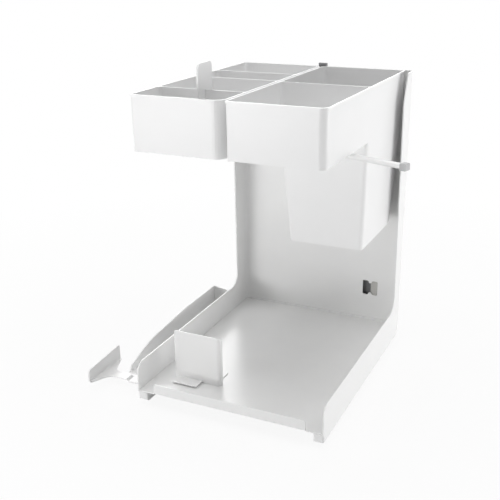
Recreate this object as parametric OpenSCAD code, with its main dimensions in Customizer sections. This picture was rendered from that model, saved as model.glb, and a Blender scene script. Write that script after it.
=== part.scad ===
// Pull-out pantry unit for a kitchen base cabinet: a folded sheet-metal tray with a tall back,
// on roller runners, with two lift-out bins, a side pocket, a bookend and a swinging towel rail.
// The origin is on the cabinet floor, in the middle of the four fixing holes. The unit pulls out
// along -Y. All sizes are in millimetres.

/* [Tray] */
// Inside width of the tray between its side walls
tray_w = 300; // [280:1:380]
// Inside depth of the tray, from its front edge to the back panel
tray_d = 392; // [375:1:460]
// Height of the tray floor above the cabinet floor
floor_h = 24; // [23:0.5:32]
// Height of the side walls above the tray floor
wall_h = 45; // [30:1:60]
// Thickness of the coated sheet steel
sheet = 2; // [1.5:0.1:2.5]
// Height of the front lip above the tray floor
lip_h = 16; // [8:1:26]
// Distance from each side wall to the end of the front lip
lip_inset = 26; // [18:1:60]
// Outer radius of the rolled lower edge of the side walls
edge_r = 5; // [3:0.5:8]
// Length of the moulded caps on the front ends of the rolled edges
cap_len = 8; // [5:0.5:12]
// Height of the upstand along the rear of the tray floor
upstand_h = 4; // [2:0.5:8]

/* [Back] */
// Height of the back panel above the tray floor
back_h = 452; // [430:1:500]
// Depth of the back's side flanges just above the tray walls
flange_low_d = 39; // [30:1:44]
// Depth of the back's side flanges where they are widest
flange_high_d = 49; // [45:1:60]
// Outer radius of the two upright bends of the back
bend_r = 10; // [6:1:14]
// Width of the bow-tie hole in the back panel
hook_hole_w = 27.5; // [24:0.5:36]
// Height of the bow-tie hole in the back panel
hook_hole_h = 27; // [22:1:36]
// Height of the bow-tie hole at its waist
waist_h = 18; // [12:1:20]
// Height of the middle of the bow-tie hole above the tray floor
hook_hole_z = 62; // [50:1:90]
// Distance from the right side wall to the middle of the bow-tie hole
hook_hole_inset = 54; // [40:1:80]

/* [Runners] */
// Distance from the tray wall to the web of the carriage rail
runner_inset = 16; // [15:0.5:24]
// Thickness of the runner steel
rail_t = 1.2; // [1:0.1:1.4]
// Inside width of the fixed channel
channel_w = 10; // [9.5:0.1:12]
// Diameter of the four runner rollers
roller_d = 14; // [13:0.1:14.5]
// Width of the roller tread
roller_w = 5.8; // [5:0.1:6.2]
// Diameter of the roller axles
axle_d = 5; // [4:0.1:6]
// Distance from the fixed rails' rear ends to the back panel
fixed_rear_gap = 7; // [5:0.5:12]
// Distance from the tray's front edge to the fixed rails
fixed_setback = 60; // [57:1:64]
// Distance from the tray's front edge to the stop tab in the fixed rails
stop_setback = 93; // [91:0.5:96]

/* [Fixing] */
// Spacing of the fixing holes across the unit
hole_pitch_x = 200; // [140:1:220]
// Distance from the rear pair of holes to the back panel
rear_hole_gap = 32; // [28:1:40]
// Distance from the tray's front edge to the front pair of holes
hole_setback = 75; // [72:1:80]
// Diameter of the fixing holes
hole_d = 4.5; // [3.5:0.1:6]
// Width of the two tie bars between the fixed rails
tie_w = 16; // [12:1:20]

/* [Bins] */
// Distance from the left side wall's line to the left bin
bin_left_gap = 0.4; // [0.3:0.1:4]
// Gap between the two bins at their rims
bin_gap = 3; // [1:0.5:8]
// Distance from the right bin to the right side wall's line
bin_right_gap = 10.6; // [4:0.1:14]
// Height of both bins, apart from the deep rear end of the right one
bin_h = 80; // [50:1:110]
// Height of the bins' rims above the back panel's top edge
rim_rise = 0; // [-4:1:30]
// Distance from the tray's front edge to the front of the bins
bin_setback = 19; // [5:1:40]
// Wall thickness of the bins
bin_t = 2; // [1.5:0.1:2.5]
// How far the rim stands out from the wall
rim_out = 0.8; // [0.5:0.1:1.2]
// Height of the rim
rim_h = 3; // [2:0.5:5]
// Depth of the deep compartment below the floor of the front one
deep_drop = 169; // [120:1:200]
// Distance from the bins' front to the wall between the right bin's compartments
deep_setback = 184; // [170:1:220]
// How far the deep compartment's left side slopes inwards
deep_left_in = 18; // [8:1:24]
// How far the deep compartment's right side slopes inwards
deep_right_in = 4.6; // [3:0.1:12]
// How far the deep compartment's rear side slopes inwards
deep_rear_in = 19; // [8:1:24]
// Clear width of the left bin's front row
row_1 = 71; // [60:1:80]
// Clear width of the left bin's second row
row_2 = 111; // [90:1:120]
// Clear width of the left bin's third row
row_3 = 71; // [50:1:80]

/* [Tab divider] */
// Width of the slip-on tab from front to rear
tab_w = 42; // [30:1:56]
// Height of the tab above the bin's rim
tab_up = 38; // [20:1:50]
// How far the tab reaches down over the bin's wall
tab_down = 34; // [20:1:50]
// Distance from the left side wall to the tab
tab_x = 77; // [70:1:85]

/* [Bin brackets] */
// Width of the two arms and the depth of the cross bar
arm_w = 13; // [10:0.5:16]
// Height of the arms at the back panel
arm_h = 12; // [10:0.5:18]
// Steel thickness of the arms, cross bar and rear rest
arm_t = 1.5; // [1.2:0.1:2]
// Distance from the tray's front edge to the middle of the cross bar
cross_y = 142.5; // [110:0.5:160]
// Distance from the tray's left wall to the towel rail's pivot
pivot_x = 266; // [255:1:272]

/* [Towel rail] */
// Diameter of the towel rail
rod_d = 8; // [6:0.5:9]
// Distance from the pivot to the far face of the end block
rod_len = 111.5; // [80:0.5:150]
// Side length of the square end block
block_s = 10; // [9.5:0.5:14]
// Angle of the rail forward of the unit's cross direction
rod_angle = 19; // [0:0.5:45]

/* [Side pocket] */
// Inside width of the side pocket
pocket_w = 27; // [20:1:40]
// Distance from the tray's front edge to the pocket's open end
pocket_front = 24; // [10:1:40]
// Length of the side pocket
pocket_len = 293; // [240:1:300]
// Height of the pocket's floor above the tray floor
pocket_floor_z = 10; // [8:1:16]
// Height of the pocket's outer wall above the tray floor
pocket_top_z = 49; // [40:1:60]

/* [Side retainer] */
// Width of the retainer's sliding strip
strip_w = 16; // [12:0.5:20]
// Distance from the tray's front edge to the middle of the strip
strip_y = 44; // [43:0.5:45]
// Length of the retainer's upright plate
plate_len = 88; // [60:1:110]
// Height of the retainer's upright plate
plate_h = 28; // [18:1:36]
// Distance from the tray's left wall to the outside of the upright plate
reach = 98; // [80:1:110]

/* [Bookend] */
// Width of the bookend
book_w = 82; // [60:1:120]
// Height of the bookend
book_h = 82; // [60:1:120]
// Distance from the tray's left wall to the bookend
book_x = 28; // [10:1:60]
// Distance from the tray's front edge to the bookend's plate
book_y = 60; // [50:1:120]
// Thickness of the bookend's sheet
book_t = 1.5; // [1:0.1:2]

/* [Hidden] */

$fn = 48;
eps = 0.01;
// Room between pieces that rest on each other, and radial room of a turning fit
seat_gap = 0.3;
fit_gap = 0.05;

coat = "white";
bin_white = "whitesmoke";
steel = "silver";
nylon = "gainsboro";

// The tray's own coordinates run from the left wall, the front edge and the floor's top face
hole_pitch_y = tray_d - hole_setback - rear_hole_gap;
tray_y = -(hole_setback + hole_pitch_y / 2);
edge_base_z = -sheet - 15;
edge_z = edge_base_z + edge_r;
edge_flat = 14;
edge_end_y = tray_d - bend_r - 2;

// Levels and stations of the runners, in the tray's coordinates
carriage_x = runner_inset;
fixed_edge_x = carriage_x + rail_t + 1.8;
fixed_web_x = fixed_edge_x + channel_w;
track_z = -floor_h + rail_t;
ride_z = -sheet - rail_t;
rear_roller_z = track_z + seat_gap + roller_d / 2;
front_roller_z = ride_z - seat_gap - roller_d / 2;
keeper_z = rear_roller_z + roller_d / 2 + 0.5;
keeper_lip = 1.8;
panel_low_z = keeper_z + rail_t + 0.8;
carriage_y0 = fixed_setback - 4;
carriage_y1 = tray_d - 8;
fixed_rear = tray_d - fixed_rear_gap;
front_roller_y = fixed_setback + 15;
rear_roller_y = tray_d - 20;
roller_x = fixed_edge_x + rail_t + 0.4;
axle_head_t = 1;
axle_head_r = axle_d / 2 + 1.5;
hub_r = axle_d / 2 + 0.8;
tail_r = axle_d / 2 - 0.5;
ear_h = 11;
rivet_r = 1.6;
rivet_head_r = 2.8;
rivet_head_t = 0.8;
rivet_z = -floor_h + 7;

// Levels and stations of the bins
rim_z = back_h + rim_rise;
bin_floor_z = rim_z - bin_h;
bin_rear = tray_d - 2;
bin_front = bin_setback;
bin_w = (tray_w - bin_left_gap - bin_gap - bin_right_gap) / 2;
left_bin_x = bin_left_gap;
right_bin_x = left_bin_x + bin_w + bin_gap;
draft = 0.8;
row_y = [
    bin_front + rim_out + bin_t,
    bin_front + rim_out + 2 * bin_t + row_1,
    bin_front + rim_out + 3 * bin_t + row_1 + row_2,
    bin_front + rim_out + 4 * bin_t + row_1 + row_2 + row_3
];
row_end = [
    row_y[0] + row_1, row_y[1] + row_2, row_y[2] + row_3, bin_rear - rim_out - bin_t
];
deep_y = bin_front + deep_setback;
deep_z = bin_floor_z - deep_drop;

// Levels of the bin brackets
arm_top = bin_floor_z - seat_gap;
left_arm_x = 8;
centre_arm_x = left_bin_x + bin_w - 19;
cross_front = cross_y - arm_w / 2;
cross_rear = cross_y + arm_w / 2;
foot_h = 26;
rest_w = 80;
rest_d = 26;
rest_h = 22;
rest_hole_inset = 14;
rest_top = deep_z - seat_gap;
rest_x = right_bin_x + (bin_w - rest_w) / 2 + 6;
pin_r = 3;
eye_r = 7;
eye_t = rod_d - 1;
rod_z = arm_top - arm_t - seat_gap - rod_d / 2 - 0.2;

// Levels of the retainer's strip
strip_t = 2;
strip_z = edge_base_z + sheet + seat_gap + 0.1;
joggle = 3;
strip_in = 62;
strip_x = -reach;
guide_x = runner_inset + 5;
guide_len = 24;
slot_room = 2;

// The socket behind the bow-tie hole
socket_d = 11;
socket_t = 1.5;

// Points of a polygon whose corners [x, y, r] are rounded with radius r
function unit(v) = v / norm(v);
function corner(a, p, b, r, n) =
    r <= 0 ? [p] :
    let (
        u = unit(a - p),
        v = unit(b - p),
        half = acos(max(-1, min(1, u * v))) / 2,
        centre = p + unit(u + v) * r / sin(half),
        from = p + u * r / tan(half) - centre,
        to = p + v * r / tan(half) - centre,
        a0 = atan2(from[1], from[0]),
        turn = atan2(to[1], to[0]) - a0,
        sweep = turn > 180 ? turn - 360 : turn < -180 ? turn + 360 : turn
    )
    [for (i = [0:n]) centre + r * [cos(a0 + sweep * i / n), sin(a0 + sweep * i / n)]];
function rounded(pts, n = 6) = [
    for (i = [0:len(pts) - 1])
        let (
            a = pts[(i + len(pts) - 1) % len(pts)],
            p = pts[i],
            b = pts[(i + 1) % len(pts)]
        )
        each corner([a[0], a[1]], [p[0], p[1]], [b[0], b[1]], p[2], n)
];

// Rounded rectangle from two corners, with one radius for each corner from front left onwards
function box_pts(x0, y0, x1, y1, r) = [[x0, y0, r[0]], [x1, y0, r[1]], [x1, y1, r[2]], [x0, y1, r[3]]];

module in_tray() translate([-tray_w / 2, tray_y, floor_h]) children();

// Mirror image about the unit's middle plane, in the tray's coordinates
module other_side() translate([tray_w, 0, 0]) mirror([1, 0, 0]) children();

// Extrudes an outline drawn in Y and Z along X, from x0 to x1
module along_x(x0, x1) translate([x0, 0, 0]) rotate([90, 0, 90]) linear_extrude(x1 - x0) children();

// Extrudes an outline drawn in X and Z along Y, from y0 to y1
module along_y(y0, y1) translate([0, y1, 0]) rotate([90, 0, 0]) linear_extrude(y1 - y0) children();

module block(a, b) translate(a) cube(b - a);

module rod_x(x0, x1, y, z, r) translate([x0, y, z]) rotate([0, 90, 0]) cylinder(r = r, h = x1 - x0);

module rod_y(y0, y1, x, z, r) translate([x, y0, z]) rotate([-90, 0, 0]) cylinder(r = r, h = y1 - y0);

// Outline of the side walls and flanges, seen from the side
module side_outline() polygon(rounded([
    [cap_len, edge_z, 0],
    [edge_end_y, edge_z, 0],
    [edge_end_y, panel_low_z, 0],
    [tray_d + 2 * sheet, panel_low_z, 0],
    [tray_d + 2 * sheet, back_h, 0],
    [tray_d - flange_high_d + 18, back_h, 4],
    [tray_d - flange_high_d, back_h - 47, 30],
    [tray_d - flange_low_d, wall_h, 22],
    [0, wall_h, 15],
    [0, -sheet, 0],
    [cap_len, -sheet, 0]
]));

// Plan of the back panel and both side walls: one sheet bent to a U
module u_plan() difference() {
    polygon(rounded(box_pts(-sheet, 0, tray_w + sheet, tray_d + sheet, [0, 0, bend_r, bend_r])));
    polygon(rounded(box_pts(0, -1, tray_w, tray_d, [0, 0, bend_r - sheet, bend_r - sheet])));
}

// Lower edge of the left wall, rolled inwards
module rolled_edge() along_y(cap_len, edge_end_y) {
    intersection() {
        translate([edge_r - sheet, edge_z]) difference() {
            circle(r = edge_r);
            circle(r = edge_r - sheet);
        }
        translate([-sheet, edge_base_z]) square(edge_r);
    }
    translate([edge_r - sheet, edge_base_z]) square([edge_flat - edge_r + sheet, sheet]);
}

// Outline of the bow-tie hole, round its own middle
module bow_tie() polygon(rounded([
    [-hook_hole_w / 2, -hook_hole_h / 2, 2], [-hook_hole_w / 7, -hook_hole_h / 2, 2],
    [-hook_hole_w / 14, -waist_h / 2, 1], [hook_hole_w / 14, -waist_h / 2, 1],
    [hook_hole_w / 7, -hook_hole_h / 2, 2],
    [hook_hole_w / 2, -hook_hole_h / 2, 2], [hook_hole_w / 2, hook_hole_h / 2, 2],
    [hook_hole_w / 7, hook_hole_h / 2, 2], [hook_hole_w / 14, waist_h / 2, 1],
    [-hook_hole_w / 14, waist_h / 2, 1],
    [-hook_hole_w / 7, hook_hole_h / 2, 2], [-hook_hole_w / 2, hook_hole_h / 2, 2]
], 4));

// Where the brackets are riveted to the back panel, as [x, z]
bracket_holes = [
    for (x = [left_arm_x, centre_arm_x]) each [
        [x + arm_w / 2, arm_top - arm_h - 4],
        [x + arm_w / 2, arm_top - foot_h + 4]
    ],
    for (x = [rest_x + rest_hole_inset, rest_x + rest_w - rest_hole_inset]) [x, rest_top - 14]
];

module back_frame() color(coat) in_tray() difference() {
    union() {
        intersection() {
            translate([0, 0, edge_z]) linear_extrude(back_h - edge_z) u_plan();
            along_x(-sheet, tray_w + sheet) side_outline();
        }
        rolled_edge();
        other_side() rolled_edge();
    }
    translate([tray_w - hook_hole_inset, tray_d - 1, hook_hole_z])
        along_y(0, sheet + 2) bow_tie();
    for (h = bracket_holes) rod_y(tray_d - 1, tray_d + sheet + 1, h[0], h[1], rivet_r + fit_gap);
    block([-sheet - 1, strip_y - strip_w / 2 - slot_room, strip_z - seat_gap],
          [edge_flat / 2, strip_y + strip_w / 2 + slot_room, strip_z + strip_t + slot_room]);
}

// Floor of the tray, with its front lip and the upstand along the back panel
module tray_floor() color(coat) in_tray() {
    lip_r = sheet + 2;
    intersection() {
        along_x(0, tray_w) polygon([
            [0, -sheet], [tray_d, -sheet], [tray_d, upstand_h],
            [tray_d - sheet, upstand_h], [tray_d - sheet, 0], [0, 0]
        ]);
        translate([0, 0, -sheet]) linear_extrude(sheet + upstand_h) polygon(rounded([
            [0, 1, 0], [lip_inset - 1, 1, 0], [lip_inset, lip_r, 0],
            [tray_w - lip_inset, lip_r, 0], [tray_w - lip_inset + 1, 1, 0], [tray_w, 1, 0],
            [tray_w, tray_d, bend_r - sheet], [0, tray_d, bend_r - sheet]
        ]));
    }
    intersection() {
        along_x(lip_inset, tray_w - lip_inset) polygon(rounded([
            [lip_r, -sheet, 0], [lip_r, 0, 0], [sheet, 0, lip_r - sheet],
            [sheet, lip_h, 0], [0, lip_h, 0], [0, -sheet, lip_r]
        ]));
        along_y(-1, lip_r) polygon(rounded(box_pts(
            lip_inset, -sheet - 1, tray_w - lip_inset, lip_h, [0, 0, 3, 3])));
    }
}

// Section of the space inside the left wall's rolled edge, with outer radius r
module edge_section(r) {
    centre_x = edge_r - sheet;
    intersection() {
        translate([centre_x, edge_z]) circle(r = r);
        translate([centre_x - r, edge_z - r]) square(r);
    }
    translate([centre_x, edge_z - r]) square([edge_flat - centre_x, r - sheet - edge_z]);
    translate([centre_x - r, edge_z]) square([r + eps, -sheet - edge_z]);
}

// Moulded cap on the front end of the left wall's rolled edge: a rounded nose and a plug
module end_cap() {
    plug_len = 16;
    intersection() {
        along_y(0, cap_len) edge_section(edge_r);
        along_x(-sheet, edge_flat) polygon(rounded([
            [0, edge_base_z, 6.5], [cap_len, edge_base_z, 0], [cap_len, -sheet, 0], [0, -sheet, 0]
        ]));
        translate([0, 0, edge_base_z]) linear_extrude(-edge_base_z) polygon(rounded(box_pts(
            -sheet, 0, edge_flat, cap_len, [3, 3, 0, 0])));
    }
    along_y(cap_len, cap_len + plug_len) edge_section(edge_r - sheet - seat_gap);
}

module left_end_cap() color(nylon) in_tray() end_cap();
module right_end_cap() color(nylon) in_tray() other_side() end_cap();

// Moving half of the left runner: an angle whose flange runs on the front roller
module carriage_rail() difference() {
    along_y(carriage_y0, carriage_y1) polygon(rounded([
        [carriage_x, -sheet, 1], [carriage_x, -floor_h + 4, 0], [carriage_x + rail_t, -floor_h + 4, 0],
        [carriage_x + rail_t, ride_z, 0], [fixed_web_x - 1, ride_z, 0], [fixed_web_x - 1, -sheet, 0]
    ], 4));
    rod_x(carriage_x - 1, carriage_x + rail_t + 1, rear_roller_y, rear_roller_z, tail_r + fit_gap);
}

module left_carriage_rail() color(coat) in_tray() carriage_rail();
module right_carriage_rail() color(coat) in_tray() other_side() carriage_rail();

// Fixed half of the left runner: a channel on the cabinet floor, with the front roller's tab,
// a stop tab and, from there to the rear, a keeper flange over the rear roller
module fixed_rail() {
    web_out = fixed_web_x + rail_t;
    ear_front = 4;
    ear_rear = front_roller_y + 11;
    difference() {
        union() {
            along_y(fixed_setback, fixed_rear) polygon([
                [fixed_edge_x, -floor_h], [web_out, -floor_h], [web_out, keeper_z],
                [fixed_web_x, keeper_z], [fixed_web_x, track_z], [fixed_edge_x + rail_t, track_z],
                [fixed_edge_x + rail_t, track_z + keeper_lip], [fixed_edge_x, track_z + keeper_lip]
            ]);
            block([fixed_edge_x + 2, stop_setback - rail_t, keeper_z], [web_out, fixed_rear, keeper_z + rail_t]);
            along_x(fixed_web_x, web_out) polygon(rounded([
                [fixed_setback, keeper_z - 1, 0], [ear_rear + 4, keeper_z - 1, 0],
                [ear_rear, front_roller_z + axle_head_r + 1, 3],
                [fixed_setback + ear_front, front_roller_z + axle_head_r + 1, 3]
            ]));
            block([fixed_edge_x + 2, stop_setback - rail_t, rear_roller_z],
                  [fixed_web_x + eps, stop_setback, keeper_z + eps]);
        }
        rod_x(fixed_web_x - 1, web_out + 1, front_roller_y, front_roller_z, tail_r + fit_gap);
        for (y = [hole_setback, hole_setback + hole_pitch_y])
            rod_x(fixed_web_x - 1, web_out + 1, y + tie_w / 4, rivet_z, rivet_r + fit_gap);
    }
}

module left_fixed_rail() color(steel) in_tray() fixed_rail();
module right_fixed_rail() color(steel) in_tray() other_side() fixed_rail();

// Tie bar across both fixed rails, at hole row y, with an upturned ear at each end
module tie_bar(y) difference() {
    x0 = fixed_web_x + rail_t;
    intersection() {
        along_y(y - tie_w / 2, y + tie_w / 2) polygon(rounded([
            [x0, -floor_h, 2.5], [tray_w - x0, -floor_h, 2.5],
            [tray_w - x0, -floor_h + ear_h, 0], [tray_w - x0 - arm_t, -floor_h + ear_h, 0],
            [tray_w - x0 - arm_t, -floor_h + arm_t, 1], [x0 + arm_t, -floor_h + arm_t, 1],
            [x0 + arm_t, -floor_h + ear_h, 0], [x0, -floor_h + ear_h, 0]
        ], 3));
        along_x(x0, tray_w - x0) polygon(rounded(box_pts(
            y - tie_w / 2, -floor_h, y + tie_w / 2, -floor_h + ear_h, [0, 0, 4, 4])));
    }
    for (x = [-1, 1]) translate([tray_w / 2 + x * hole_pitch_x / 2, y, -floor_h - 1])
        cylinder(d = hole_d, h = arm_t + 2);
    rod_x(x0 - 1, tray_w - x0 + 1, y + tie_w / 4, rivet_z, rivet_r + fit_gap);
}

module front_tie_bar() color(steel) in_tray() tie_bar(hole_setback);
module rear_tie_bar() color(steel) in_tray() tie_bar(hole_setback + hole_pitch_y);

// Rivet along +X through sheets of total thickness grip, its first head's face at the origin
module rivet(grip) rotate([0, 90, 0]) {
    translate([0, 0, -rivet_head_t]) cylinder(r1 = rivet_head_r - 0.6, r2 = rivet_head_r, h = rivet_head_t);
    cylinder(r = rivet_r, h = grip);
    translate([0, 0, grip]) cylinder(r1 = rivet_head_r, r2 = rivet_head_r - 0.6, h = rivet_head_t);
}

module tie_rivets() color(steel) in_tray() for (y = [hole_setback, hole_setback + hole_pitch_y]) {
    translate([fixed_web_x, y + tie_w / 4, rivet_z]) rivet(rail_t + arm_t);
    other_side() translate([fixed_web_x, y + tie_w / 4, rivet_z]) rivet(rail_t + arm_t);
}

// Axle of the left front roller, held in the fixed rail's web
module front_axle() {
    roller_end = roller_x + roller_w;
    rod_x(fixed_web_x, fixed_web_x + rail_t + 0.6, front_roller_y, front_roller_z, tail_r);
    rod_x(roller_end + 2 * fit_gap, fixed_web_x, front_roller_y, front_roller_z, hub_r);
    rod_x(roller_x - 2 * fit_gap, roller_end + 2 * fit_gap, front_roller_y, front_roller_z, axle_d / 2);
    rod_x(roller_x - 2 * fit_gap - axle_head_t, roller_x - 2 * fit_gap, front_roller_y, front_roller_z,
          axle_head_r);
}

module front_axles() color(steel) in_tray() {
    front_axle();
    other_side() front_axle();
}

// Axle of the left rear roller, held in the carriage rail's web
module rear_axle() {
    roller_end = roller_x + roller_w;
    rod_x(carriage_x - 0.6, carriage_x + rail_t, rear_roller_y, rear_roller_z, tail_r);
    rod_x(carriage_x + rail_t, roller_x - 2 * fit_gap, rear_roller_y, rear_roller_z, hub_r);
    rod_x(roller_x - 2 * fit_gap, roller_end + 2 * fit_gap, rear_roller_y, rear_roller_z, axle_d / 2);
    rod_x(roller_end + 2 * fit_gap, roller_end + 2 * fit_gap + axle_head_t, rear_roller_y, rear_roller_z,
          axle_head_r);
}

module rear_axles() color(steel) in_tray() {
    rear_axle();
    other_side() rear_axle();
}

// Moulded roller with a chamfered tread and a recess round its bore
module roller(y, z) translate([roller_x, y, z]) rotate([0, 90, 0]) rotate_extrude() {
    bore_r = axle_d / 2 + fit_gap;
    polygon([
        [bore_r, 0], [bore_r + 1.2, 0], [bore_r + 1.4, 0.6], [roller_d / 2 - 1.8, 0.6],
        [roller_d / 2 - 1.6, 0], [roller_d / 2 - 0.5, 0], [roller_d / 2, 0.5],
        [roller_d / 2, roller_w - 0.5], [roller_d / 2 - 0.5, roller_w],
        [roller_d / 2 - 1.6, roller_w], [roller_d / 2 - 1.8, roller_w - 0.6],
        [bore_r + 1.4, roller_w - 0.6], [bore_r + 1.2, roller_w], [bore_r, roller_w]
    ]);
}

module left_front_roller() color(nylon) in_tray() roller(front_roller_y, front_roller_z);
module right_front_roller() color(nylon) in_tray() other_side() roller(front_roller_y, front_roller_z);
module left_rear_roller() color(nylon) in_tray() roller(rear_roller_y, rear_roller_z);
module right_rear_roller() color(nylon) in_tray() other_side() roller(rear_roller_y, rear_roller_z);

// Folded arm under the left bin, from the back panel to the cross bar, with its riveted foot
module arm(x) {
    panel_y = tray_d;
    front_h = arm_h - 4;
    difference() {
        along_x(x, x + arm_w) polygon([
            [cross_rear, arm_top], [panel_y, arm_top], [panel_y, arm_top - arm_h],
            [cross_rear, arm_top - front_h]
        ]);
        along_x(x + arm_t, x + arm_w - arm_t) polygon([
            [cross_rear - 1, arm_top - arm_t], [panel_y - arm_t, arm_top - arm_t],
            [panel_y - arm_t, arm_top - arm_h - 1], [cross_rear - 1, arm_top - arm_h - 1]
        ]);
    }
    difference() {
        along_y(panel_y - arm_t, panel_y) polygon(rounded(box_pts(
            x, arm_top - foot_h, x + arm_w, arm_top - arm_h + eps, [4, 4, 0, 0])));
        for (h = bracket_holes) rod_y(panel_y - 3, panel_y + 1, h[0], h[1], rivet_r + fit_gap);
    }
}

module left_arm() color(coat) in_tray() arm(left_arm_x);
module centre_arm() color(coat) in_tray() arm(centre_arm_x);

// Angle across the front of both arms, cut down to its flange where the towel rail swings
module cross_bar() color(coat) in_tray() difference() {
    union() {
        translate([0, 0, arm_top - arm_t]) linear_extrude(arm_t) polygon(rounded(box_pts(
            left_arm_x, cross_front, pivot_x + arm_w / 2, cross_rear, [0, 5, 5, 0])));
        block([left_arm_x, cross_front, arm_top - arm_h + 3],
              [pivot_x - 22, cross_front + arm_t, arm_top - arm_t]);
    }
    translate([pivot_x, cross_y, arm_top - arm_t - 1]) cylinder(r = pin_r - 0.8 + fit_gap, h = arm_t + 2);
}

// Angle bracket on the back panel, under the deep end of the right bin
module bin_rest() color(coat) in_tray() difference() {
    intersection() {
        along_x(rest_x, rest_x + rest_w) polygon(rounded([
            [tray_d - rest_d, rest_top, 0], [tray_d, rest_top, 2.5], [tray_d, rest_top - rest_h, 0],
            [tray_d - arm_t, rest_top - rest_h, 0], [tray_d - arm_t, rest_top - arm_t, 1],
            [tray_d - rest_d, rest_top - arm_t, 0]
        ], 3));
        along_y(tray_d - rest_d, tray_d) polygon(rounded(box_pts(
            rest_x, rest_top - rest_h, rest_x + rest_w, rest_top, [5, 5, 0, 0])));
    }
    for (h = bracket_holes) rod_y(tray_d - 3, tray_d + 1, h[0], h[1], rivet_r + fit_gap);
}

module bracket_rivets() color(coat) in_tray() for (h = bracket_holes)
    translate([h[0], tray_d - arm_t, h[1]]) rotate([0, 0, 90]) rivet(arm_t + sheet);

// Pivot pin of the towel rail, hung from the cross bar
module rail_pivot() color(steel) in_tray() translate([pivot_x, cross_y, 0]) {
    eye_top = rod_z + eye_t / 2;
    eye_low = rod_z - eye_t / 2;
    translate([0, 0, arm_top - arm_t]) cylinder(r = pin_r - 0.8, h = arm_t - 0.1);
    translate([0, 0, eye_top + seat_gap]) cylinder(r = pin_r + 1, h = arm_top - arm_t - eye_top - seat_gap);
    translate([0, 0, eye_low - seat_gap]) cylinder(r = pin_r, h = eye_t + 2 * seat_gap);
    translate([0, 0, eye_low - seat_gap - 1.2]) cylinder(r = pin_r + 2, h = 1.2);
}

// Towel rail: a round bar with a flattened eye on the pivot pin
module towel_rail() color(coat) in_tray() translate([pivot_x, cross_y, rod_z]) rotate([0, 0, -rod_angle])
    difference() {
        union() {
            translate([0, 0, -eye_t / 2]) cylinder(r = eye_r, h = eye_t);
            rod_x(eye_r - 1, rod_len - 3, 0, 0, rod_d / 2);
        }
        translate([0, 0, -rod_d]) cylinder(r = pin_r + fit_gap, h = 2 * rod_d);
    }

// Square moulded block pushed on the towel rail's free end
module rail_end_block() color(nylon) in_tray() translate([pivot_x, cross_y, rod_z]) rotate([0, 0, -rod_angle])
    difference() {
        along_y(-block_s / 2, block_s / 2) polygon(rounded(box_pts(
            rod_len - block_s, -block_s / 2, rod_len, block_s / 2, [1.5, 1.5, 1.5, 1.5]), 4));
        rod_x(rod_len - block_s - 1, rod_len - 3, 0, 0, rod_d / 2);
    }

// Tapered solid between two rounded outlines, at z0 and z1
module taper(low, high, z0, z1) hull() {
    translate([0, 0, z0]) linear_extrude(eps) polygon(rounded(low));
    translate([0, 0, z1 - eps]) linear_extrude(eps) polygon(rounded(high));
}

// Straight rim round a bin whose outline at the rim runs from x0 to x0 + bin_w
module rim(x0, r) translate([0, 0, rim_z - rim_h]) linear_extrude(rim_h) difference() {
    polygon(rounded(box_pts(x0, bin_front, x0 + bin_w, bin_rear, r)));
    polygon(rounded(box_pts(x0 + rim_out + bin_t / 2, bin_front + rim_out + bin_t / 2,
        x0 + bin_w - rim_out - bin_t / 2, bin_rear - rim_out - bin_t / 2, [for (q = r) q - 1.8])));
}

// Outer body of a bin before it is hollowed, with corner radii r at the rim and low_r at the floor
module bin_body(x0, r, low_r) taper(
    box_pts(x0 + rim_out + draft, bin_front + rim_out + draft, x0 + bin_w - rim_out - draft,
        bin_rear - rim_out - draft, low_r),
    box_pts(x0 + rim_out, bin_front + rim_out, x0 + bin_w - rim_out, bin_rear - rim_out, r),
    bin_floor_z, rim_z);

left_bin_r = [3, 16, 8, 8];
left_bin_low_r = [2.5, 15, 7, 7];
right_bin_r = [3, 11, 5, 9];
right_bin_low_r = [2.5, 10, 12, 8];

module left_bin() color(bin_white) in_tray() {
    x0 = left_bin_x + rim_out + bin_t;
    x1 = left_bin_x + bin_w - rim_out - bin_t;
    difference() {
        union() {
            bin_body(left_bin_x, left_bin_r, left_bin_low_r);
            rim(left_bin_x, left_bin_r);
        }
        for (i = [0:3]) {
            front_r = i == 0 ? [1.5, 14] : [8, 5];
            rear_r = i == 3 ? [6, 6] : [5, 8];
            radii = concat(front_r, rear_r);
            taper(
                box_pts(x0 + draft, row_y[i] + draft * (i == 0 ? 1 : 0.2), x1 - draft,
                    row_end[i] - draft * (i == 3 ? 1 : 0.2), radii),
                box_pts(x0, row_y[i], x1, row_end[i], radii),
                bin_floor_z + bin_t, rim_z + 1);
        }
    }
}

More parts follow.
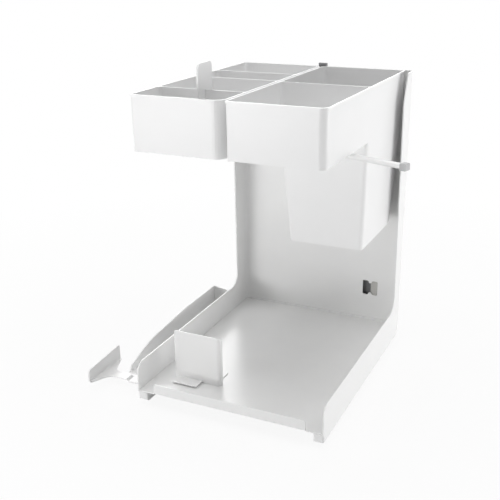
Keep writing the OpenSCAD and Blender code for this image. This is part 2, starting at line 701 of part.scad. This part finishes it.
// Right bin: a shallow front compartment and a deep one behind it, in one moulding
module right_bin() color(bin_white) in_tray() {
    x0 = right_bin_x + rim_out;
    x1 = right_bin_x + bin_w - rim_out;
    rear = bin_rear - rim_out;
    floor_top = bin_floor_z + bin_t;
    difference() {
        union() {
            bin_body(right_bin_x, right_bin_r, right_bin_low_r);
            rim(right_bin_x, right_bin_r);
            taper(
                box_pts(x0 + deep_left_in, deep_y + 1, x1 - deep_right_in, rear - deep_rear_in,
                    [5, 6, 20, 10]),
                box_pts(x0 + draft, deep_y - 1, x1 - draft, rear - draft,
                    [5, 6, right_bin_low_r[2], right_bin_low_r[3]]),
                deep_z, bin_floor_z + eps);
        }
        taper(
            box_pts(x0 + bin_t + draft, bin_front + rim_out + bin_t + draft, x1 - bin_t - draft,
                deep_y - 1.4, [1, 8.5, 5, 5]),
            box_pts(x0 + bin_t, bin_front + rim_out + bin_t, x1 - bin_t, deep_y - 1, [1.5, 9, 5, 5]),
            floor_top, rim_z + 1);
        taper(
            box_pts(x0 + bin_t + draft, deep_y + 1.2, x1 - bin_t - draft, rear - bin_t - draft,
                [5, 5, 10, 7]),
            box_pts(x0 + bin_t, deep_y + 1, x1 - bin_t, rear - bin_t, [5, 5, 4, 8]),
            floor_top, rim_z + 1);
        taper(
            box_pts(x0 + bin_t + deep_left_in, deep_y + 3, x1 - deep_right_in - bin_t,
                rear - bin_t - deep_rear_in, [4, 4, 18, 8]),
            box_pts(x0 + bin_t + draft, deep_y + 1.2, x1 - bin_t - draft, rear - bin_t - draft,
                [4, 4, 10, 7]),
            deep_z + bin_t, floor_top + eps);
    }
}

// Slip-on tab that straddles the wall behind the left bin's front row
module tab_divider() color(bin_white) in_tray() {
    tab_t = 2.5;
    wall_mid = row_end[0] + bin_t / 2;
    y0 = wall_mid - tab_w / 2;
    slot_half = bin_t / 2 + seat_gap + 0.2;
    difference() {
        along_x(tab_x, tab_x + tab_t) polygon(rounded(box_pts(
            y0, rim_z - tab_down, y0 + tab_w, rim_z + tab_up, [3, 3, 8, 8])));
        block([tab_x - 1, wall_mid - slot_half, rim_z - tab_down - 1],
              [tab_x + tab_t + 1, wall_mid + slot_half, rim_z + seat_gap]);
    }
}

// Bookend: a plate with both edges bent back, a tongue in front and a foot behind
module bookend() color(coat) in_tray() {
    edge_d = 9;
    tongue_x = book_x + 7;
    tongue_w = 43;
    foot_len = 46;
    low = seat_gap;
    intersection() {
        translate([0, 0, low]) linear_extrude(book_h - low) difference() {
            polygon(rounded(box_pts(book_x, book_y, book_x + book_w, book_y + edge_d, [6, 6, 0, 0])));
            polygon(rounded(box_pts(book_x + book_t, book_y + book_t, book_x + book_w - book_t,
                book_y + edge_d + 1, [6 - book_t, 6 - book_t, 0, 0])));
        }
        along_y(book_y - 1, book_y + edge_d + 1) polygon(rounded(box_pts(
            book_x, 0, book_x + book_w, book_h, [0, 0, 7, 7])));
        along_x(book_x, book_x + book_w) polygon(rounded(box_pts(
            book_y, 0, book_y + edge_d, book_h, [0, 0, 7, 0])));
    }
    translate([0, 0, low + 1.5]) linear_extrude(book_t) polygon(rounded(box_pts(
        tongue_x, book_y - 20, tongue_x + tongue_w, book_y + eps, [2, 2, 0, 0]), 3));
    translate([0, 0, low]) linear_extrude(book_t) polygon(rounded(box_pts(
        book_x + 8, book_y + book_t - eps, book_x + book_w - 8, book_y + foot_len, [0, 0, 6, 6])));
}

// Outer wall of the side pocket, seen from the side: it falls away to the front
module pocket_outline() polygon(rounded([
    [pocket_front, pocket_floor_z, 0],
    [pocket_front + pocket_len, pocket_floor_z, 0],
    [pocket_front + pocket_len, pocket_top_z, 0],
    [pocket_front + 0.6 * pocket_len, pocket_top_z, 500],
    [pocket_front + 0.22 * pocket_len, pocket_top_z - 9, 260],
    [pocket_front + 6, pocket_floor_z + 12, 10],
    [pocket_front, pocket_floor_z + 5, 4]
], 8));

// Open-fronted pocket on the outside of the left wall
module side_pocket() color(coat) in_tray() {
    inner_x = -sheet;
    outer_x = inner_x - pocket_w - 2 * sheet;
    rear = pocket_front + pocket_len;
    inner_top = wall_h - 6;
    along_x(outer_x, outer_x + sheet) pocket_outline();
    block([outer_x + sheet - eps, pocket_front, pocket_floor_z], [inner_x, rear, pocket_floor_z + sheet]);
    along_y(rear - sheet, rear) polygon([
        [outer_x + eps, pocket_floor_z], [inner_x, pocket_floor_z], [inner_x, wall_h - 0.5],
        [outer_x + eps, pocket_top_z - eps]
    ]);
    along_x(inner_x - sheet, inner_x) polygon(rounded(box_pts(
        pocket_front, pocket_floor_z, rear, inner_top, [0, 0, 0, 14])));
}

// Retainer: a T-shaped strip that slides out under the left wall, its end turned up to a plate
module side_retainer() color(coat) in_tray() {
    near_drop = 6;
    plate_y0 = strip_y + 4 - plate_len / 2;
    plate_y1 = plate_y0 + plate_len;
    y0 = strip_y - strip_w / 2;
    y1 = strip_y + strip_w / 2;
    z1 = strip_z + joggle;
    top = strip_z + joggle + plate_h;
    intersection() {
        along_y(plate_y0, plate_y1) polygon(rounded([
            [strip_in, strip_z, 0], [strip_in, strip_z + strip_t, 0],
            [-sheet - 42, strip_z + strip_t, 1], [-sheet - 46, z1 + strip_t, 1],
            [strip_x + strip_t, z1 + strip_t, 2.5], [strip_x + strip_t, top, 0], [strip_x, top, 0],
            [strip_x, z1, 4.5], [-sheet - 45, z1, 1], [-sheet - 41, strip_z, 1]
        ], 4));
        translate([0, 0, strip_z - 1]) linear_extrude(plate_h + 10) polygon(rounded([
            [strip_x - 1, plate_y0, 0], [strip_x + 4, plate_y0, 0], [strip_x + 19, y0, 16],
            [strip_in, y0, 3], [strip_in, y1, 3], [strip_x + 19, y1, 16],
            [strip_x + 4, plate_y1, 0], [strip_x - 1, plate_y1, 0]
        ]));
        along_x(strip_x - 1, strip_in + 1) polygon(rounded([
            [plate_y0, strip_z - 1, 0], [plate_y1, strip_z - 1, 0], [plate_y1, top, 3],
            [plate_y0, top - near_drop, 6]
        ], 4));
    }
}

// Moulded guide under the tray floor, in which the retainer's strip slides stiffly
module retainer_guide() color(nylon) in_tray() difference() {
    side = strip_w / 2 + 3.5;
    along_x(guide_x, guide_x + guide_len) polygon(rounded(box_pts(
        strip_y - side, strip_z - 1.8, strip_y + side, -sheet, [2, 2, 0, 0]), 3));
    block([guide_x - 1, strip_y - strip_w / 2 - seat_gap, strip_z - seat_gap],
          [guide_x + guide_len + 1, strip_y + strip_w / 2 + seat_gap, strip_z + strip_t + seat_gap]);
}

// Dark moulded clip over the back panel's top edge, between the bins
module top_clip() color("dimgray") in_tray() {
    clip_w = 14;
    clip_x = left_bin_x + bin_w + 2.5 - clip_w / 2;
    along_x(clip_x, clip_x + clip_w) polygon(rounded([
        [tray_d - 1.4, back_h - 8, 0], [tray_d, back_h - 8, 0], [tray_d, back_h, 0],
        [tray_d + sheet, back_h, 0], [tray_d + sheet, back_h - 18, 0],
        [tray_d + sheet + 2.5, back_h - 18, 1], [tray_d + sheet + 2.5, back_h + 5, 1.5],
        [tray_d - 1.4, back_h + 5, 1]
    ], 3));
}

// Rectangle round the bow-tie hole, larger than the hole by d on each side
module hole_frame(d, r) polygon(rounded(box_pts(
    -hook_hole_w / 2 - d, -hook_hole_h / 2 - d, hook_hole_w / 2 + d, hook_hole_h / 2 + d, [r, r, r, r]), 4));

module behind_hole() in_tray() translate([tray_w - hook_hole_inset, tray_d + sheet, hook_hole_z]) children();

// Moulded socket that closes the bow-tie hole from behind
module hook_socket() color("dimgray") behind_hole() difference() {
    along_y(0, socket_d) hole_frame(4.5, 4);
    along_y(-1, socket_d - socket_t) hole_frame(4.5 - socket_t, 2.5);
}

// Sliding plate in the socket, behind the right half of the bow-tie hole
module hook_plate() color(nylon) behind_hole() along_y(1, 1 + socket_t) polygon(rounded(box_pts(
    0.5, -hook_hole_h / 2 - 4.5 + socket_t + seat_gap, hook_hole_w / 2 + 4.5 - socket_t - seat_gap,
    hook_hole_h / 2 + 4.5 - socket_t - seat_gap, [0, 2.5, 2.5, 0]), 4));

back_frame();
tray_floor();
left_end_cap();
right_end_cap();
left_carriage_rail();
right_carriage_rail();
left_fixed_rail();
right_fixed_rail();
front_tie_bar();
rear_tie_bar();
tie_rivets();
front_axles();
rear_axles();
left_front_roller();
right_front_roller();
left_rear_roller();
right_rear_roller();
left_arm();
centre_arm();
cross_bar();
bin_rest();
bracket_rivets();
rail_pivot();
towel_rail();
rail_end_block();
left_bin();
right_bin();
tab_divider();
bookend();
side_pocket();
side_retainer();
retainer_guide();
top_clip();
hook_socket();
hook_plate();
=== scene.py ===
import math

import bpy
from mathutils import Matrix, Vector

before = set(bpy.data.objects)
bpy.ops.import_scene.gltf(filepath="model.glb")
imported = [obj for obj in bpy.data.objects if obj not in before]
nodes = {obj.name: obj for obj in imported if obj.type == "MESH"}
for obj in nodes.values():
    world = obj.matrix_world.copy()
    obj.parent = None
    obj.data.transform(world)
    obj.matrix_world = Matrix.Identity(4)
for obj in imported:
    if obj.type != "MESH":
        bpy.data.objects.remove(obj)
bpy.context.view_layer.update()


# Runner rails, tie bars and axles
# The fixed rails are roll-formed steel channels on the cabinet floor, riveted to two flat bars.
# Axles, rivets and the towel rail's pin are round steel. Zinc plating leaves all of them a cool
# grey with a fine, soft spangle.
def linear(hex_colour):
    """sRGB hex to the linear RGBA that a shader takes."""
    channels = [int(hex_colour[i:i + 2], 16) / 255 for i in (1, 3, 5)]
    return [c / 12.92 if c <= 0.04045 else ((c + 0.055) / 1.055) ** 2.4 for c in channels] + [1.0]


def add(tree, kind, settings=(), **links):
    """Adds one shader node, sets its properties and inputs, and links the named inputs."""
    node = tree.nodes.new(kind)
    for name, value in dict(settings).items():
        if isinstance(name, str) and hasattr(node, name):
            setattr(node, name, value)
        else:
            node.inputs[name].default_value = value
    for name, socket in links.items():
        tree.links.new(socket, node.inputs[name.replace("_", " ")])
    return node


def new_material(name):
    """An empty node material and its tree, with an output node called Out."""
    material = bpy.data.materials.new(name)
    material.use_nodes = True
    tree = material.node_tree
    tree.nodes.clear()
    tree.nodes.new("ShaderNodeOutputMaterial").name = "Out"
    return material, tree


def per_metre(millimetres):
    """Scale of a noise whose features measure so many millimetres."""
    return 1000 / millimetres


def zinc_plating():
    material, tree = new_material("zinc_plated_steel")
    place = add(tree, "ShaderNodeTexCoord")
    spangle = add(tree, "ShaderNodeTexNoise", {"Scale": per_metre(6), "Detail": 3.0},
                  Vector=place.outputs["Object"])
    tint = add(tree, "ShaderNodeMix", {"data_type": "RGBA", 6: linear("#BFC2C6"), 7: linear("#D3D5D7")})
    tree.links.new(spangle.outputs["Fac"], tint.inputs[0])
    polish = add(tree, "ShaderNodeMapRange", {"To Min": 0.28, "To Max": 0.42},
                 Value=spangle.outputs["Fac"])
    skin = add(tree, "ShaderNodeBsdfPrincipled", {"Metallic": 1.0},
               Base_Color=tint.outputs[2], Roughness=polish.outputs["Result"])
    tree.links.new(skin.outputs[0], tree.nodes["Out"].inputs["Surface"])
    return material


def finish_node(name, material, edge_mm):
    """Gives a CAD node its finish and breaks its sharp edges by a small radius."""
    piece = nodes[name]
    piece.data.materials.clear()
    piece.data.materials.append(material)
    # A node's faces don't share their points, so the weld joins those before the bevel runs.
    weld = piece.modifiers.new("weld", "WELD")
    weld.merge_threshold = 0.00001
    bevel = piece.modifiers.new("edges", "BEVEL")
    bevel.width = edge_mm / 1000
    bevel.segments = 2
    bevel.limit_method = "ANGLE"
    bevel.angle_limit = math.radians(30)
    bevel.harden_normals = True
    bevel.use_clamp_overlap = True


zinc = zinc_plating()
for name in ("left_fixed_rail", "right_fixed_rail", "front_tie_bar", "rear_tie_bar"):
    finish_node(name, zinc, 0.25)
for name in ("tie_rivets", "front_axles", "rear_axles", "rail_pivot"):
    finish_node(name, zinc, 0.15)


# Rollers, guide and hook plate
# Injection-moulded natural nylon, slightly warm and waxy. Its off-white is lowered to a light grey as
# painted shade: the shade that the hook plate stands in behind the back panel's hole, given to every
# piece here. It is smooth, with a soft wide highlight.
def nylon_with_painted_shade():
    material, tree = new_material("nylon_with_painted_shade")
    place = add(tree, "ShaderNodeTexCoord")
    flow = add(tree, "ShaderNodeTexNoise", {"Scale": per_metre(9), "Detail": 2.0},
               Vector=place.outputs["Object"])
    # Light grey in place of the nylon's off-white: painted shade.
    tint = add(tree, "ShaderNodeMix", {"data_type": "RGBA", 6: linear("#BEBDB9"), 7: linear("#C8C7C3")})
    tree.links.new(flow.outputs["Fac"], tint.inputs[0])
    skin = add(tree, "ShaderNodeBsdfPrincipled", {"Roughness": 0.42, "IOR": 1.53},
               Base_Color=tint.outputs[2])
    tree.links.new(skin.outputs[0], tree.nodes["Out"].inputs["Surface"])
    return material


nylon = nylon_with_painted_shade()
for name in ("left_front_roller", "right_front_roller", "left_rear_roller", "right_rear_roller",
             "retainer_guide", "hook_plate"):
    finish_node(name, nylon, 0.2)


# Coated steel parts
# Frame, tray floor, carriage rails, brackets, pocket, bookend and retainer are bent from sheet,
# and the towel rail is a bar. All are powder-coated white and baked, which leaves a satin skin
# with a very fine orange peel.
def powder_coat():
    material, tree = new_material("white_powder_coat")
    place = add(tree, "ShaderNodeTexCoord")
    # Real orange peel is about 1 mm. A pixel covers about 1.6 mm, so it is drawn at 2.5 mm.
    peel = add(tree, "ShaderNodeTexNoise", {"Scale": per_metre(2.5), "Detail": 2.0},
               Vector=place.outputs["Object"])
    cloud = add(tree, "ShaderNodeTexNoise", {"Scale": per_metre(60), "Detail": 3.0},
                Vector=place.outputs["Object"])
    tint = add(tree, "ShaderNodeMix", {"data_type": "RGBA", 6: linear("#F0F0F0"), 7: linear("#F6F6F5")})
    tree.links.new(cloud.outputs["Fac"], tint.inputs[0])
    sheen = add(tree, "ShaderNodeMapRange", {"To Min": 0.27, "To Max": 0.34},
                Value=cloud.outputs["Fac"])
    bump = add(tree, "ShaderNodeBump", {"Strength": 0.12, "Distance": 0.0002},
               Height=peel.outputs["Fac"])
    skin = add(tree, "ShaderNodeBsdfPrincipled",
               {"IOR": 1.6, "Coat Weight": 0.25, "Coat Roughness": 0.22, "Coat IOR": 1.6},
               Base_Color=tint.outputs[2], Roughness=sheen.outputs["Result"],
               Normal=bump.outputs["Normal"])
    tree.links.new(skin.outputs[0], tree.nodes["Out"].inputs["Surface"])
    return material


coat = powder_coat()
for name in ("back_frame", "tray_floor", "left_arm", "centre_arm", "cross_bar", "bin_rest",
             "bracket_rivets", "left_carriage_rail", "right_carriage_rail", "side_pocket",
             "bookend", "side_retainer", "towel_rail"):
    finish_node(name, coat, 0.6)


# Bins and tab divider
# Injection-moulded ABS, white all through. The mould leaves it even, with a soft gloss and small
# radii on every edge.
def moulded_abs():
    material, tree = new_material("white_moulded_abs")
    place = add(tree, "ShaderNodeTexCoord")
    # The mould's own grain is finer than a pixel, so it is drawn coarser, at 2 mm.
    grain = add(tree, "ShaderNodeTexNoise", {"Scale": per_metre(2), "Detail": 2.0},
                Vector=place.outputs["Object"])
    flow = add(tree, "ShaderNodeTexNoise", {"Scale": per_metre(80), "Detail": 2.0},
               Vector=place.outputs["Object"])
    tint = add(tree, "ShaderNodeMix", {"data_type": "RGBA", 6: linear("#F3F3F3"), 7: linear("#F8F8F8")})
    tree.links.new(flow.outputs["Fac"], tint.inputs[0])
    bump = add(tree, "ShaderNodeBump", {"Strength": 0.06, "Distance": 0.0001},
               Height=grain.outputs["Fac"])
    skin = add(tree, "ShaderNodeBsdfPrincipled", {"IOR": 1.53, "Roughness": 0.33},
               Base_Color=tint.outputs[2], Normal=bump.outputs["Normal"])
    tree.links.new(skin.outputs[0], tree.nodes["Out"].inputs["Surface"])
    return material


abs_white = moulded_abs()
for name in ("left_bin", "right_bin", "tab_divider"):
    finish_node(name, abs_white, 0.9)


# Small grey mouldings
# Polypropylene from textured moulds, which leave it matt. The end caps are a very pale grey, the
# towel rail's block is light grey, and mid grey are the clip over the back panel's edge and the
# socket behind its hole. On the socket that grey is painted shade for the dark inside of the hole.
def polypropylene(name, low, high):
    material, tree = new_material(name)
    place = add(tree, "ShaderNodeTexCoord")
    # The mould's texture is finer than a pixel; drawn at 1.5 mm, it shows only in closer views.
    grain = add(tree, "ShaderNodeTexNoise", {"Scale": per_metre(1.5), "Detail": 3.0},
                Vector=place.outputs["Object"])
    tint = add(tree, "ShaderNodeMix", {"data_type": "RGBA", 6: linear(low), 7: linear(high)})
    tree.links.new(grain.outputs["Fac"], tint.inputs[0])
    bump = add(tree, "ShaderNodeBump", {"Strength": 0.15, "Distance": 0.0001},
               Height=grain.outputs["Fac"])
    skin = add(tree, "ShaderNodeBsdfPrincipled", {"IOR": 1.49, "Roughness": 0.55},
               Base_Color=tint.outputs[2], Normal=bump.outputs["Normal"])
    tree.links.new(skin.outputs[0], tree.nodes["Out"].inputs["Surface"])
    return material


pale_grey = polypropylene("pale_grey_polypropylene", "#EEEEEE", "#F2F2F2")
for name in ("left_end_cap", "right_end_cap"):
    finish_node(name, pale_grey, 0.4)
# Light grey: partly the block's own grey plastic and partly painted shade, darker so that its lit faces
# read as shaded.
light_grey = polypropylene("light_grey_polypropylene", "#BDBDBE", "#C5C5C6")
finish_node("rail_end_block", light_grey, 0.4)
# Mid grey: the clip's own colour, and on the socket painted shade for the dark inside of the hole.
mid_grey = polypropylene("mid_grey_polypropylene", "#868688", "#909092")
for name in ("top_clip", "hook_socket"):
    finish_node(name, mid_grey, 0.3)


# Camera
# The photograph's view, worked out from the corners of the tray, bins and panel: a place, two
# angles with a slight roll, and a lens for a 36 mm wide sensor.
eye = Vector((0.4723, -1.1389, 0.6572))
azimuth, elevation, roll = (math.radians(a) for a in (25.10, 20.20, -0.47))
back = Vector((math.sin(azimuth) * math.cos(elevation), -math.cos(azimuth) * math.cos(elevation),
               math.sin(elevation)))
level_right = (-back).cross(Vector((0, 0, 1))).normalized()
level_up = level_right.cross(-back)
right = level_right * math.cos(roll) + level_up * math.sin(roll)
up = level_up * math.cos(roll) - level_right * math.sin(roll)
camera = bpy.data.objects.new("camera", bpy.data.cameras.new("camera"))
bpy.context.scene.collection.objects.link(camera)
camera.data.sensor_width = 36
camera.data.lens = 58.26
camera.matrix_world = Matrix.Translation(eye) @ Matrix((right, up, back)).transposed().to_4x4()
bpy.context.scene.camera = camera


# Floor, lamps and world
# A plain pale floor and soft lamps. The camera and reflections see floor and world as white, but
# near the object a tenth of the floor's look stays matt, so that it keeps the object's shadow.
shadow_reach, white_from = 0.35, 1.1
near_glow = 0.9
fill_light = 0.18


def seen_directly(tree):
    """1 for the rays that show the background: the camera's, reflected and transmitted ones."""
    path = add(tree, "ShaderNodeLightPath")
    seen = path.outputs["Is Camera Ray"]
    for kind in ("Is Glossy Ray", "Is Transmission Ray"):
        either = add(tree, "ShaderNodeMath", {"operation": "MAXIMUM"})
        tree.links.new(seen, either.inputs[0])
        tree.links.new(path.outputs[kind], either.inputs[1])
        seen = either.outputs[0]
    return seen


def white_ground(name, colour):
    material, tree = new_material(name)
    matt = add(tree, "ShaderNodeBsdfDiffuse", {"Color": linear(colour)})
    glow = add(tree, "ShaderNodeEmission", {"Strength": 1.0})
    place = add(tree, "ShaderNodeTexCoord")
    distance = add(tree, "ShaderNodeVectorMath", {"operation": "LENGTH"}, Vector=place.outputs["Object"])
    near = add(tree, "ShaderNodeMapRange",
               {"From Min": shadow_reach, "From Max": white_from, "To Min": near_glow},
               Value=distance.outputs["Value"])
    share = add(tree, "ShaderNodeMath", {"operation": "MULTIPLY"})
    tree.links.new(seen_directly(tree), share.inputs[0])
    tree.links.new(near.outputs["Result"], share.inputs[1])
    mix = add(tree, "ShaderNodeMixShader", {}, Fac=share.outputs[0])
    tree.links.new(matt.outputs[0], mix.inputs[1])
    tree.links.new(glow.outputs[0], mix.inputs[2])
    tree.links.new(mix.outputs[0], tree.nodes["Out"].inputs["Surface"])
    return material


bpy.ops.mesh.primitive_plane_add(size=12)
ground = bpy.context.object
ground.name = "studio_floor"
ground.data.materials.append(white_ground("studio_floor", "#F6F6F6"))


def lamp(name, place, aim, width, height, watts):
    """A rectangular soft lamp at place, turned towards aim."""
    data = bpy.data.lights.new(name, "AREA")
    data.shape = "RECTANGLE"
    data.size = width
    data.size_y = height
    data.energy = watts
    lamp_object = bpy.data.objects.new(name, data)
    lamp_object.location = place
    lamp_object.rotation_euler = (Vector(aim) - Vector(place)).to_track_quat("-Z", "Y").to_euler()
    bpy.context.scene.collection.objects.link(lamp_object)


lamp("overhead_lamp", (0, -0.1, 2.0), (0, 0, 0.2), 3.0, 1.2, 27)
lamp("rim_lamp", (-0.95, 2.1, 1.34), (0, 0, 0.4), 2.0, 0.5, 15)
lamp("right_lamp", (1.8, 0.62, 0.27), (0, 0, 0.27), 1.8, 0.5, 16.5)
lamp("front_lamp", (-0.75, -1.8, 0.2), (0, 0, 0.25), 0.8, 0.3, 9.2)
lamp("left_lamp", (-1.1, -1.2, 0.7), (0, 0, 0.3), 0.6, 0.8, 3.4)

world = bpy.data.worlds.new("studio")
bpy.context.scene.world = world
world.use_nodes = True
world.node_tree.nodes.clear()
level = add(world.node_tree, "ShaderNodeMapRange", {"To Min": fill_light, "To Max": 1.0},
            Value=seen_directly(world.node_tree))
sky = add(world.node_tree, "ShaderNodeBackground", {"Color": linear("#FFFFFF")},
          Strength=level.outputs["Result"])
add(world.node_tree, "ShaderNodeOutputWorld", {}, Surface=sky.outputs[0])

bpy.context.scene.view_settings.view_transform = "Standard"
